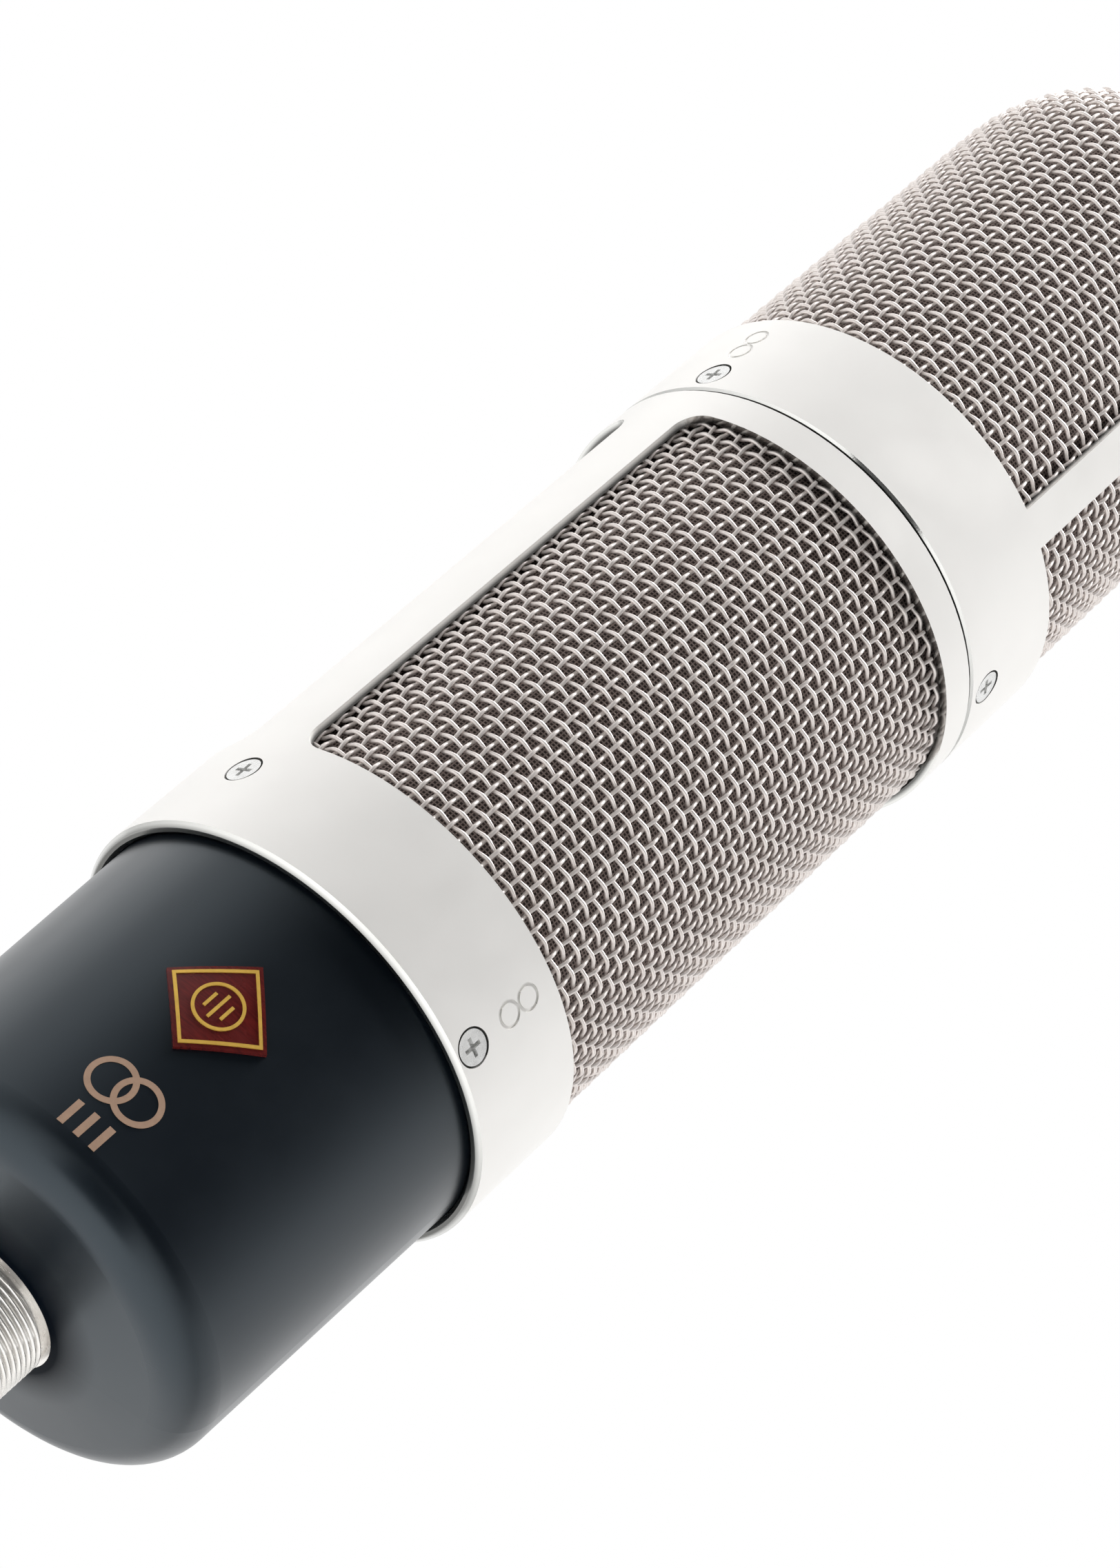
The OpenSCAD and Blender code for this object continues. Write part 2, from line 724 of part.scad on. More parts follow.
// Pole pieces, drawn in plan: broad at the magnet and narrower at the ribbon
module poles() {
    tip_d = yoke_d - 4;
    base_d = yoke_d - 1;
    color([0.42, 0.43, 0.45]) for (side = [-1, 1]) translate([0, 0, magnet_low_z]) scale_x(side)
        linear_extrude(height = magnet_h) translate([air_gap_w / 2, 0])
            polygon([[0, -tip_d / 2], [1.5, -base_d / 2], [pole_w, -base_d / 2],
                [pole_w, base_d / 2], [1.5, base_d / 2], [0, tip_d / 2]]);
}

module scale_x(side) {
    if (side > 0) children();
    else mirror([1, 0, 0]) children();
}

// The corrugated foil, flat where the clamps hold it
module ribbon() {
    turns = 2 * wave_count;
    front = concat([[0, clamp_low_z], [0, wave_low_z]],
        [for (i = [0 : turns - 1])
            [(i % 2 == 0 ? 1 : -1) * wave_half, wave_low_z + (i + 0.5) * wave_pitch / 2]],
        [[0, clamp_high_z], [0, clamp_high_z + clamp_h]]);
    last = len(front) - 1;
    back = [for (i = [last : -1 : 0]) front[i] + [ribbon_t, 0]];
    color([0.80, 0.82, 0.85]) translate([-ribbon_w / 2, -ribbon_t / 2, 0]) rotate([90, 0, 90])
        linear_extrude(height = ribbon_w) polygon(concat(front, back));
}

module clamp_screw_places() {
    for (z = [clamp_low_z, clamp_high_z], side = [-1, 1])
        translate([side * clamp_screw_x, 0, z + clamp_h / 2]) rotate([90, 0, 0]) children();
}

module clamps() {
    color("goldenrod") difference() {
        for (z = [clamp_low_z, clamp_high_z], side = [-1, 1])
            block(clamp_w, jaw_t, clamp_h, [0, side * (jaw_t + ribbon_t) / 2, z]);
        clamp_screw_places() translate([0, 0, -jaw_t - cut])
            cylinder(r = clamp_screw_r + seat_gap, h = 2 * jaw_t + 2 * cut);
    }
}

module clamp_screws() {
    reach = jaw_t + ribbon_t / 2;
    color(steel) clamp_screw_places() {
        translate([0, 0, -reach]) cylinder(r = clamp_screw_r, h = 2 * reach);
        difference() {
            translate([0, 0, reach]) cylinder(r = clamp_head_r, h = 0.9);
            translate([-1, -0.15, reach + 0.5]) cube([2, 0.3, 1]);
        }
    }
}

module insulators() {
    color([0.85, 0.80, 0.62]) for (z = [clamp_low_z - insulator_t, clamp_high_z + clamp_h])
        block(clamp_w, yoke_d - 2, insulator_t, [0, 0, z]);
}

// The two wires of a capsule, from below up to its lower and upper clamps
module capsule_leads(drop) {
    color([0.75, 0.15, 0.12]) for (end = [[1, clamp_low_z + clamp_h / 2], [-1, clamp_high_z + clamp_h / 2]]) {
        reach = lead_y - jaw_t - ribbon_t / 2 - 0.02;
        translate([end[0] * lead_x, end[0] * lead_y, 0]) {
            translate([0, 0, -drop]) cylinder(r = lead_r, h = drop + end[1]);
            translate([0, 0, end[1]]) sphere(r = lead_r);
            translate([0, 0, end[1]]) rotate([end[0] * 90, 0, 0]) cylinder(r = lead_r, h = reach);
        }
    }
}

module lower_leads() {
    lower_place() capsule_leads(lower_yoke_z - board_z - board_t);
}

module lower_pillar_places() {
    rotate([0, 0, lower_front_az + 90]) for (side = [-1, 1])
        translate([side * capsule_side_x, 0, 0]) children();
}

module lower_pillars() {
    color(nickel) lower_pillar_places()
        tube(pillar_r, inner_screw_r + seat_gap, lower_yoke_z, top_plate_z - lower_yoke_z);
}

module top_plate() {
    color("gainsboro") difference() {
        translate([0, 0, top_plate_z]) cylinder(r = plate_r, h = top_plate_t);
        translate([0, 0, top_plate_z - cut]) cylinder(r = bush_r, h = top_plate_t + 2 * cut);
        lower_pillar_places() translate([0, 0, plate_top_z])
            csk_hole(inner_screw_head_r, 1, inner_screw_r, top_plate_t + cut);
        stop_pin_place() translate([0, 0, top_plate_z - cut])
            cylinder(r = stop_pin_r, h = top_plate_t + 2 * cut);
    }
}

module top_plate_screws() {
    color(steel) lower_pillar_places() translate([0, 0, plate_top_z])
        csk_screw(inner_screw_head_r, 1, inner_screw_r, 8);
}

module stop_pin_place() {
    rotate([0, 0, lower_front_az]) translate([stop_circle_r, 0, 0]) children();
}

module stop_pin() {
    color(steel) stop_pin_place() translate([0, 0, top_plate_z])
        cylinder(r = stop_pin_r, h = hub_z + slot_depth - 0.5 - top_plate_z);
}

// The head's cable: up beside the lower motor, in to the axis and up through the pivot
module head_cable() {
    bend = cable_bend_r;
    color([0.16, 0.16, 0.17]) rotate([0, 0, lower_front_az + 90]) {
        translate([0, cable_y, board_z]) cylinder(r = cable_r, h = cable_run_z - bend - board_z);
        translate([0, cable_y - bend, cable_run_z - bend]) quarter_bend(bend, 0);
        translate([0, bend, cable_run_z]) rotate([-90, 0, 0]) cylinder(r = cable_r, h = cable_y - 2 * bend);
        translate([0, bend, cable_run_z + bend]) quarter_bend(bend, 180);
        translate([0, 0, cable_run_z + bend]) cylinder(r = cable_r, h = cable_end_z - cable_run_z - bend);
    }
}

// A quarter turn of the cable in the YZ plane, from +Y towards +Z when start is 0
module quarter_bend(bend, start) {
    rotate([90, 0, 90]) rotate([0, 0, start])
        rotate_extrude(angle = 90) translate([bend, 0]) circle(r = cable_r);
}

module pivot_bush() {
    color("goldenrod") tube(bush_r, pivot_r + pivot_clear, bush_z, plate_top_z - bush_z);
}

module friction_washer() {
    color([0.80, 0.55, 0.30]) tube(washer_r, pivot_r + 0.6, plate_top_z, washer_t);
}

// ---------- head ----------

module hub_plate() {
    slot_r = stop_pin_r + moving_gap;
    color("gainsboro") difference() {
        translate([0, 0, hub_z]) cylinder(r = plate_r, h = hub_t);
        translate([0, 0, hub_z - cut]) cylinder(r = pivot_r, h = hub_t + 2 * cut);
        translate([0, 0, hub_z - cut]) rotate([0, 0, lower_front_az - head_turn])
            rotate_extrude(angle = 2 * head_turn) translate([stop_circle_r - slot_r, 0])
                square([2 * slot_r, cut + slot_depth]);
        for (turn = [-head_turn, head_turn]) rotate([0, 0, lower_front_az + turn])
            translate([stop_circle_r, 0, hub_z - cut]) cylinder(r = slot_r, h = cut + slot_depth);
        for (az = head_screw_az) at_radius(az, hub_screw_z, screw_seat_r) frame_screw_hole();
        rotate([0, 0, upper_front_az + 90]) for (side = [-1, 1])
            translate([side * yoke_screw_x, 0, hub_z + hub_t - stud_depth])
                cylinder(r = inner_screw_r + seat_gap, h = stud_depth + cut);
    }
}

module pivot_tube() {
    color(steel) difference() {
        union() {
            translate([0, 0, pivot_ring_z - pivot_tail])
                cylinder(r = pivot_r, h = hub_z + hub_t - pivot_ring_z + pivot_tail);
            translate([0, 0, hub_z + hub_t]) cylinder(r = pivot_r + 2.5, h = pivot_flange_t);
        }
        translate([0, 0, pivot_ring_z - cut - pivot_tail])
            cylinder(r = pivot_bore_r, h = cable_end_z - pivot_ring_z + 2 * cut + pivot_tail);
    }
}

module pivot_ring() {
    color([0.25, 0.25, 0.26]) difference() {
        tube(pivot_r + 2, pivot_r + seat_gap, pivot_ring_z, pivot_ring_t);
        translate([0, -0.8, pivot_ring_z - cut]) cube([pivot_r + 3, 1.6, pivot_ring_t + 2 * cut]);
    }
}

module upper_frame() {
    groove_z = head_win_z - mesh_lap;
    color(silver) difference() {
        union() {
            rotate_extrude() polygon([[frame_in_r, head_z], [ring_r - edge_chamfer, head_z],
                [ring_r, head_z + edge_chamfer], [ring_r, head_win_z - edge_chamfer / 2],
                [ring_r - edge_chamfer / 2, head_win_z], [ring_r - strut_wall, head_win_z],
                [ring_r - strut_wall, groove_z], [frame_in_r, groove_z]]);
            intersection() {
                dome_shell(0, strut_wall, head_win_z - 0.5);
                rotate([0, 0, upper_front_az]) translate([-strap_w / 2, -ring_r - cut, head_win_z - 0.5])
                    cube([strap_w, 2 * (ring_r + cut), head_window_h + cut]);
            }
        }
        for (az = head_screw_az) at_radius(az, hub_screw_z, screw_seat_r) frame_screw_hole();
        engraving(upper_front_az, head_z + head_mark_rise);
    }
}

module upper_frame_screws() {
    color(steel) for (az = head_screw_az) at_radius(az, hub_screw_z, screw_seat_r) frame_screw();
}

module upper_mesh() {
    color(nickel) dome_shell(ring_r - mesh_r, mesh_t, head_win_z - mesh_lap);
}

module upper_screen() {
    color([0.5, 0.5, 0.49]) dome_shell(ring_r - screen_r, screen_t, hub_z + hub_t);
}

module upper_posts() {
    color(nickel) translate([0, 0, hub_z + hub_t]) rotate([0, 0, upper_front_az + 90])
        for (side = [-1, 1]) translate([side * yoke_screw_x, 0, 0])
            tube(3, inner_screw_r + seat_gap, 0, upper_post_h);
}

module upper_leads() {
    upper_place() capsule_leads(upper_post_h - 1);
}

module lower_yoke() lower_place() yoke();
module lower_magnets() lower_place() magnets();
module lower_poles() lower_place() poles();
module lower_ribbon() lower_place() ribbon();
module lower_clamps() lower_place() clamps();
module lower_clamp_screws() lower_place() clamp_screws();
module lower_insulators() lower_place() insulators();
module lower_yoke_screws() lower_place() base_screws();
module upper_yoke() upper_place() yoke();
module upper_magnets() upper_place() magnets();
module upper_poles() upper_place() poles();
module upper_ribbon() upper_place() ribbon();
module upper_clamps() upper_place() clamps();
module upper_clamp_screws() upper_place() clamp_screws();
module upper_insulators() upper_place() insulators();

// Screws from under the lower capsule's base up into the yoke's foot
module base_screws() {
    color(steel) for (side = [-1, 1]) translate([side * yoke_screw_x, 0, -motor_base_t]) rotate([180, 0, 0])
        csk_screw(inner_screw_head_r, 1, inner_screw_r, motor_base_t + yoke_t - 1);
}

// Studs from the hub plate through the posts into the upper yoke's foot
module upper_yoke_screws() {
    color(steel) upper_place() for (side = [-1, 1])
        translate([side * yoke_screw_x, 0, -upper_post_h - stud_depth])
            cylinder(r = inner_screw_r, h = upper_post_h + stud_depth + yoke_t - 1);
}

body_shell();
stem_housing();
stem_screws();
xlr_insert();
xlr_pins();
chassis_posts();
chassis_plate();
chassis_screws();
transformer_can(-1);  // transformer_can_1
transformer_can(1);  // transformer_can_2
transformer_core(-1);  // transformer_core_1
transformer_core(1);  // transformer_core_2
transformer_winding(-1);  // transformer_winding_1
transformer_winding(1);  // transformer_winding_2
board_pillars();
terminal_board();
board_screws();
output_leads();
badge_plate();
badge_emblem();
front_pictogram();
lower_frame();
body_screws();
lower_frame_screws();
lower_mesh();
lower_screen();
lower_motor_base();
lower_yoke();
lower_yoke_screws();
lower_magnets();
lower_poles();
lower_ribbon();
lower_clamps();
lower_clamp_screws();
lower_insulators();
lower_leads();
lower_pillars();
top_plate();
top_plate_screws();
head_cable();
pivot_bush();
friction_washer();
stop_pin();
hub_plate();
pivot_tube();
pivot_ring();
upper_frame();
upper_frame_screws();
upper_mesh();
upper_screen();
upper_posts();
upper_yoke();
upper_yoke_screws();
upper_magnets();
upper_poles();
upper_ribbon();
upper_clamps();
upper_clamp_screws();
upper_insulators();
upper_leads();
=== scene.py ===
"""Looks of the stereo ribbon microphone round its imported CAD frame."""
import json
import math

import bpy
import numpy as np
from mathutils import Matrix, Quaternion, Vector


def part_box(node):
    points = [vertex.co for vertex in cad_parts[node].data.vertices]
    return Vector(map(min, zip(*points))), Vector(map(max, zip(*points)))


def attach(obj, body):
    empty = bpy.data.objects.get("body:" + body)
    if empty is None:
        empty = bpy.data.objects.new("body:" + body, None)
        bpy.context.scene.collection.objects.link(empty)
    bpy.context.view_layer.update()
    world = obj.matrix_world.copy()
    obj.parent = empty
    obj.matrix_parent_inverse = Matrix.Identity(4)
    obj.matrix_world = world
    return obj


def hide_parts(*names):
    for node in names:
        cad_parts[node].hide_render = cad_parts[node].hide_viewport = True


MM = 0.001

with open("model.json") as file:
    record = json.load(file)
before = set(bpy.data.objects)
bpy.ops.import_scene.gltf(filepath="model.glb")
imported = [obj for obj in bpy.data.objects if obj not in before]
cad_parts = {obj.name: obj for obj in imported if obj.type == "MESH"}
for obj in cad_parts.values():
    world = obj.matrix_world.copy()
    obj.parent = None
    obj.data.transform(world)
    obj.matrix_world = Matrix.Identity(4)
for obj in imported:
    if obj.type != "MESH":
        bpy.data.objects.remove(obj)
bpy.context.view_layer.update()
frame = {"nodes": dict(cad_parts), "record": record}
nodes = frame["nodes"]

# ---------- camera ----------

CAMERA_AT = Vector((0.1258, -0.5046, -0.2333))
CAMERA_AIM = Vector((-0.0002, -0.0001, 0.1235))
CAMERA_ROLL = math.radians(48.3)
SENSOR = 36.0
LENS = 118.7
FAR = 50

look = (CAMERA_AIM - CAMERA_AT).normalized()


def make_camera():
    """The camera looks up along the microphone from under the stem, rolled so that the axis is diagonal."""
    data = bpy.data.cameras.new("camera")
    data.sensor_width = SENSOR
    data.lens = LENS
    data.clip_end = FAR
    camera = bpy.data.objects.new("camera", data)
    bpy.context.scene.collection.objects.link(camera)
    level = (CAMERA_AIM - CAMERA_AT).to_track_quat("-Z", "Y")
    camera.rotation_mode = "QUATERNION"
    camera.rotation_quaternion = level @ Quaternion((0, 0, 1), CAMERA_ROLL)
    camera.location = CAMERA_AT
    bpy.context.scene.camera = camera


make_camera()

# ---------- material helpers ----------


class Shader:
    """A Principled material being built up node by node."""

    SOCKETS = {"metallic": "Metallic", "coat": "Coat Weight", "coat_rough": "Coat Roughness",
               "specular": "Specular IOR Level", "tint": "Specular Tint"}

    def __init__(self, name):
        self.material = bpy.data.materials.new(name)
        self.material.use_nodes = True
        self.tree = self.material.node_tree
        self.bsdf = self.tree.nodes["Principled BSDF"]
        self.coords = self.node("ShaderNodeTexCoord").outputs["Object"]

    def node(self, kind, **settings):
        made = self.tree.nodes.new(kind)
        for key, value in settings.items():
            setattr(made, key, value)
        return made

    def link(self, source, target):
        self.tree.links.new(source, target)

    def set(self, **values):
        """Sets the shader's own sockets to constants, by the short names in SOCKETS."""
        for key, value in values.items():
            socket = self.bsdf.inputs[self.SOCKETS[key]]
            socket.default_value = (*value, 1) if isinstance(value, tuple) else value
        return self

    def drive(self, key, source):
        """Feeds one of the shader's own sockets from a pattern."""
        self.link(source, self.bsdf.inputs[self.SOCKETS[key]])

    def value(self, operation, *inputs):
        """A Math node's output. An input is a number or a socket."""
        made = self.node("ShaderNodeMath", operation=operation)
        for socket, given in zip(made.inputs, inputs):
            if isinstance(given, (int, float)):
                socket.default_value = given
            else:
                self.link(given, socket)
        return made.outputs[0]

    def noise(self, scale, detail=4.0, rough=0.6, stretch=(1, 1, 1)):
        mapping = self.node("ShaderNodeMapping")
        mapping.inputs["Scale"].default_value = stretch
        self.link(self.coords, mapping.inputs["Vector"])
        made = self.node("ShaderNodeTexNoise")
        made.inputs["Scale"].default_value = scale
        made.inputs["Detail"].default_value = detail
        made.inputs["Roughness"].default_value = rough
        self.link(mapping.outputs["Vector"], made.inputs["Vector"])
        return made.outputs["Fac"]

    def spread(self, source, low, high, start=0.3, end=0.7):
        """Maps the range start to end of a pattern onto low to high, and holds it there outside."""
        made = self.node("ShaderNodeMapRange")
        self.link(source, made.inputs["Value"])
        for key, value in (("From Min", start), ("From Max", end), ("To Min", low), ("To Max", high)):
            made.inputs[key].default_value = value
        return made.outputs["Result"]

    def mix(self, factor, first, second):
        """The first colour where the factor is 0, the second where it is 1. Each is a tuple or a socket."""
        made = self.node("ShaderNodeMix", data_type="RGBA")
        factor_in, first_in, second_in = made.inputs[0], made.inputs[6], made.inputs[7]
        self.link(factor, factor_in)
        for socket, given in ((first_in, first), (second_in, second)):
            if isinstance(given, tuple):
                socket.default_value = (*given, 1)
            else:
                self.link(given, socket)
        return made.outputs[2]

    def bump(self, height, distance, strength):
        made = self.node("ShaderNodeBump")
        made.inputs["Strength"].default_value = strength
        made.inputs["Distance"].default_value = distance
        self.link(height, made.inputs["Height"])
        self.link(made.outputs["Normal"], self.bsdf.inputs["Normal"])

    def colour(self, source):
        self.link(source, self.bsdf.inputs["Base Color"])

    def clouded(self, pattern, dark, light):
        """Varies the colour between two by a pattern."""
        self.colour(self.mix(self.spread(pattern, 0, 1), dark, light))

    def rough(self, source):
        self.link(source, self.bsdf.inputs["Roughness"])

    def parts(self, vector):
        """The x, y and z of a vector."""
        split = self.node("ShaderNodeSeparateXYZ")
        self.link(vector, split.inputs[0])
        return split.outputs

    def axis_distance(self):
        """The distance from the microphone's axis, in metres."""
        x, y, _ = self.parts(self.coords)
        squares = [self.value("MULTIPLY", side, side) for side in (x, y)]
        return self.value("SQRT", self.value("ADD", *squares))

    def lines(self, source, rate):
        """Rounded ridges along a source: the sine of the source times the rate, without its sign."""
        return self.value("ABSOLUTE", self.value("SINE", self.value("MULTIPLY", source, rate)))


def plain(name, base, metallic, low, high, grain, vary=0.85, depth=0.02):
    """A surface whose colour, roughness and fine bump all come from noise of one grain."""
    s = Shader(name).set(metallic=metallic)
    darker = tuple(c * vary for c in base)
    s.clouded(s.noise(grain), darker, base)
    s.rough(s.spread(s.noise(grain * 0.3), low, high))
    s.bump(s.noise(grain * 4, detail=2), depth * MM, 0.5)
    return s.material


# ---------- materials ----------

STEM_PAINTED_SHADE_FROM_R = 10.5 * MM
STEM_PAINTED_SHADE_TO_R = 15.5 * MM
RECESS_R = 29.2 * MM
SURFACE_R = 29.75 * MM
DOME_FROM_Z = 226 * MM
DOME_TO_Z = 232 * MM
SCREEN_WIRES = 340
SCREEN_RATE = 6200
COIL_RATE = 9000


def body_paint():
    """Satin blue-black paint with a faint orange peel and uneven gloss, and painted shade close round the
    stem, where its reflection is turned down.
    """
    s = Shader("body_paint").set(metallic=0, coat_rough=0.24, tint=(0.68, 0.87, 1.0))
    radius = s.axis_distance()
    # Painted shade: the paint reflects less close round the stem, standing for the stem's shade on the
    # underside.
    s.drive("specular", s.spread(radius, 0.02, 0.5, STEM_PAINTED_SHADE_FROM_R, STEM_PAINTED_SHADE_TO_R))
    s.drive("coat", s.spread(radius, 0, 0.30, STEM_PAINTED_SHADE_FROM_R, STEM_PAINTED_SHADE_TO_R))
    s.clouded(s.noise(14, detail=3), (0.0015, 0.0030, 0.0058), (0.0026, 0.0048, 0.0090))
    s.rough(s.spread(s.noise(60), 0.27, 0.34))
    s.bump(s.noise(2600, detail=2, rough=0.5), 0.004 * MM, 0.35)
    return s.material


def frame_silver():
    """Fine bead-blasted silver: the chamfers that face down at the mouth are polished and painted darker as
    shade, and the recesses are painted dark as shade.
    """
    s = Shader("frame_silver")
    blasted = s.mix(s.spread(s.noise(32, detail=3), 0, 1), (0.85, 0.834, 0.808), (0.92, 0.904, 0.878))
    normal = s.node("ShaderNodeTexCoord").outputs["Normal"]
    # Faces turned down are polished, with more metal and less roughness, and their colour is painted darker
    # as shade.
    down = s.spread(s.parts(normal)["Z"], 1, 0, -0.6, -0.4)
    # Painted shade: the colour turns nearly black where the frame lies inside its outer face, below the
    # dome, in the window walls and recesses.
    below_surface = s.spread(s.axis_distance(), 1, 0, RECESS_R, SURFACE_R)
    below_dome = s.spread(s.parts(s.coords)["Z"], 1, 0, DOME_FROM_Z, DOME_TO_Z)
    painted_recess_shade = s.value("MULTIPLY", below_surface, below_dome)
    s.colour(s.mix(painted_recess_shade, s.mix(down, blasted, (0.70, 0.70, 0.68)), (0.13, 0.13, 0.125)))
    s.drive("metallic", s.value("MULTIPLY_ADD", down, 0.7, 0.25))
    s.rough(s.value("SUBTRACT", s.spread(s.noise(110), 0.36, 0.43), s.value("MULTIPLY", down, 0.26)))
    s.bump(s.noise(5200, detail=2), 0.010 * MM, 0.4)
    return s.material


def mesh_nickel():
    """Bright plated wire with slight drawing marks."""
    s = Shader("mesh_nickel").set(metallic=0.45)
    s.clouded(s.noise(900, detail=3), (0.75, 0.692, 0.660), (0.92, 0.860, 0.826))
    s.rough(s.spread(s.noise(1500), 0.38, 0.48))
    s.bump(s.noise(9000, detail=2), 0.004 * MM, 0.4)
    return s.material


def screen_bronze():
    """Fine dark woven screen, drawn as two crossing rows of wires about 0.5 mm apart, the wire tops painted
    light and the gaps painted dark as shade.
    """
    s = Shader("screen_bronze").set(metallic=0.7)
    x, y, z = s.parts(s.coords)
    upright = s.lines(s.value("ARCTAN2", y, x), SCREEN_WIRES / 2)
    level = s.lines(s.value("SUBTRACT", z, s.axis_distance()), SCREEN_RATE)
    # Painted light and shade: the wire tops are painted light and the gaps between the wires painted dark.
    wire_tops_and_gap_shade = s.spread(s.value("MAXIMUM", upright, level), 0, 1, 0.72, 1.0)
    s.colour(s.mix(wire_tops_and_gap_shade, (0.044, 0.034, 0.031), (0.36, 0.29, 0.265)))
    s.rough(s.spread(s.noise(700), 0.42, 0.6))
    s.bump(wire_tops_and_gap_shade, 0.05 * MM, 0.6)
    return s.material


def stem_nickel():
    """Bright plating, with tool marks drawn out round the stem."""
    s = Shader("stem_nickel").set(metallic=0.7)
    s.clouded(s.noise(260), (0.80, 0.77, 0.73), (0.92, 0.90, 0.87))
    s.rough(s.spread(s.noise(800, stretch=(1, 1, 6)), 0.17, 0.30))
    s.bump(s.noise(5000, detail=2), 0.004 * MM, 0.3)
    return s.material


def badge_enamel():
    """Clear maroon enamel over a slightly brushed ground."""
    s = Shader("badge_enamel").set(metallic=0, coat=0.35, coat_rough=0.1, specular=0.3)
    s.clouded(s.noise(420, detail=3, stretch=(1, 1, 9)), (0.070, 0.005, 0.005), (0.14, 0.012, 0.010))
    s.rough(s.spread(s.noise(200), 0.22, 0.34))
    s.bump(s.noise(1800, detail=2), 0.004 * MM, 0.3)
    return s.material


def screw_steel():
    """Bright zinc plating."""
    s = Shader("screw_steel").set(metallic=0.35)
    s.clouded(s.noise(900), (0.70, 0.70, 0.69), (0.84, 0.84, 0.83))
    s.rough(s.spread(s.noise(2200), 0.20, 0.34))
    s.bump(s.noise(3000, detail=1), 0.002 * MM, 0.2)
    return s.material


def winding_copper():
    """Enamelled copper wire, its turns drawn as fine rows up the coil, with painted shade in the grooves
    between them.
    """
    s = Shader("winding_copper").set(metallic=0.9, coat=0.5, coat_rough=0.2)
    turns = s.lines(s.parts(s.coords)["Z"], COIL_RATE)
    # Painted shade: the colour darkens in the grooves between the turns.
    s.colour(s.mix(turns, (0.30, 0.10, 0.03), (0.80, 0.38, 0.16)))
    s.rough(s.spread(s.noise(300), 0.25, 0.4))
    s.bump(turns, 0.06 * MM, 0.6)
    return s.material


def board_green():
    """Lacquered glass-fibre board, with its weave faintly showing."""
    s = Shader("board_green").set(metallic=0, coat=0.4, coat_rough=0.2)
    weave = s.noise(1400, detail=2)
    s.clouded(weave, (0.02, 0.12, 0.05), (0.04, 0.20, 0.09))
    s.rough(s.spread(s.noise(90), 0.28, 0.42))
    s.bump(weave, 0.01 * MM, 0.3)
    return s.material


MATERIALS = {
    "body_paint": body_paint(),
    "frame_silver": frame_silver(),
    "mesh_nickel": mesh_nickel(),
    "screen_bronze": screen_bronze(),
    "stem_nickel": stem_nickel(),
    "screw_steel": screw_steel(),
    "badge_enamel": badge_enamel(),
    "winding_copper": winding_copper(),
    "board_green": board_green(),
    "contact_gold": plain("contact_gold", (0.95, 0.70, 0.30), 1, 0.16, 0.26, 900, depth=0.004),
    "holder_black": plain("holder_black", (0.016, 0.016, 0.018), 0, 0.40, 0.55, 700, depth=0.01),
    "chassis_alu": plain("chassis_alu", (0.74, 0.75, 0.76), 1, 0.28, 0.42, 500, depth=0.008),
    "can_mumetal": plain("can_mumetal", (0.52, 0.52, 0.50), 1, 0.26, 0.40, 260, depth=0.01),
    "core_iron": plain("core_iron", (0.20, 0.20, 0.22), 1, 0.35, 0.5, 600),
    "brass_part": plain("brass_part", (0.80, 0.58, 0.24), 1, 0.20, 0.32, 700, depth=0.006),
    "lead_red": plain("lead_red", (0.45, 0.05, 0.04), 0, 0.38, 0.5, 900, depth=0.01),
    "cable_grey": plain("cable_grey", (0.035, 0.035, 0.038), 0, 0.45, 0.6, 800, depth=0.01),
    "gilt_line": plain("gilt_line", (0.88, 0.55, 0.10), 0.4, 0.30, 0.42, 1200, depth=0.004),
    "print_tan": plain("print_tan", (0.42, 0.27, 0.185), 0, 0.42, 0.55, 1500, vary=0.88, depth=0.004),
    "yoke_iron": plain("yoke_iron", (0.10, 0.10, 0.115), 1, 0.35, 0.5, 500),
    "magnet_nickel": plain("magnet_nickel", (0.66, 0.66, 0.67), 1, 0.16, 0.28, 300, depth=0.006),
    "ribbon_foil": plain("ribbon_foil", (0.86, 0.87, 0.89), 1, 0.16, 0.26, 800, depth=0.004),
    "insulator_cream": plain("insulator_cream", (0.62, 0.52, 0.33), 0, 0.45, 0.6, 700, depth=0.01),
    "washer_bronze": plain("washer_bronze", (0.62, 0.38, 0.18), 1, 0.25, 0.38, 600, depth=0.006),
}


def dress_nodes():
    """Gives each CAD node the material of its slot in the record."""
    for part in frame["record"]["subparts"]:
        piece = nodes[part["node"]]
        piece.data.materials.clear()
        piece.data.materials.append(MATERIALS[part["material_slot"]])


dress_nodes()

# ---------- mesh building ----------


def grid_mesh(points, wrap_along, wrap_round):
    """Vertices and quads of many grids at once, from an array of shape (grids, along, round, 3)."""
    grids, along, around, _ = points.shape
    index = np.arange(grids * along * around).reshape(grids, along, around)
    if wrap_along:
        index = np.concatenate([index, index[:, :1]], axis=1)
    if wrap_round:
        index = np.concatenate([index, index[:, :, :1]], axis=2)
    quads = np.stack([index[:, :-1, :-1], index[:, :-1, 1:], index[:, 1:, 1:], index[:, 1:, :-1]], axis=-1)
    return points.reshape(-1, 3), quads.reshape(-1, 4)


